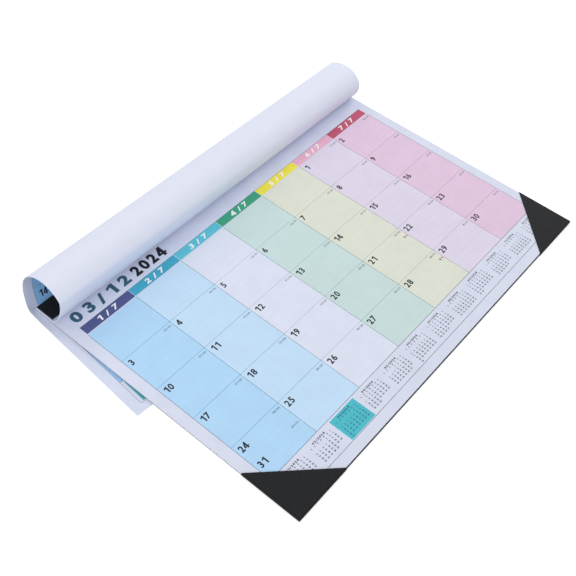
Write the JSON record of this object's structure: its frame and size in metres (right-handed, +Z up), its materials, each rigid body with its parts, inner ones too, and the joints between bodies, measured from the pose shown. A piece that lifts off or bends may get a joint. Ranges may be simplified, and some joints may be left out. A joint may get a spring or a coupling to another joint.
{
  "type": "desk-pad calendar",
  "caption": "Flat desk-pad calendar with a binding strip and corner holders, the first pages turned over the bound edge in a loop and tucked under the pad.",
  "frame": {"origin": "middle of the pad, on the surface that it lies on", "axes": "+X along the bound edge to the right, +Y up the page to the bound edge, +Z up"},
  "size_m": [0.4493, 0.317, 0.0489],
  "materials": {
    "backing_board": "matte",
    "page_block": "matte",
    "turned_pages": "matte",
    "binding_strip": "matte",
    "corner_holder_left": "matte",
    "corner_holder_right": "matte",
    "print_column_sunday": "matte",
    "print_header_sunday": "matte",
    "print_column_monday": "matte",
    "print_header_monday": "matte",
    "print_column_tuesday": "matte",
    "print_header_tuesday": "matte",
    "print_column_wednesday": "matte",
    "print_header_wednesday": "matte",
    "print_column_thursday": "matte",
    "print_header_thursday": "matte",
    "print_column_friday": "matte",
    "print_header_friday": "matte",
    "print_column_saturday": "matte",
    "print_header_saturday": "matte",
    "print_grid_lines": "matte",
    "print_month_panel": "matte",
    "print_small_months": "matte"
  },
  "bodies": {
    "root": {"backing_board": "backing_board", "page_block": "page_block", "turned_pages": "turned_pages", "binding_strip": "binding_strip", "corner_holder_left": "corner_holder_left", "corner_holder_right": "corner_holder_right", "print_column_sunday": "print_column_sunday", "print_header_sunday": "print_header_sunday", "print_column_monday": "print_column_monday", "print_header_monday": "print_header_monday", "print_column_tuesday": "print_column_tuesday", "print_header_tuesday": "print_header_tuesday", "print_column_wednesday": "print_column_wednesday", "print_header_wednesday": "print_header_wednesday", "print_column_thursday": "print_column_thursday", "print_header_thursday": "print_header_thursday", "print_column_friday": "print_column_friday", "print_header_friday": "print_header_friday", "print_column_saturday": "print_column_saturday", "print_header_saturday": "print_header_saturday", "print_grid_lines": "print_grid_lines", "print_month_panel": "print_month_panel", "print_small_months": "print_small_months"}
  },
  "joints": []
}
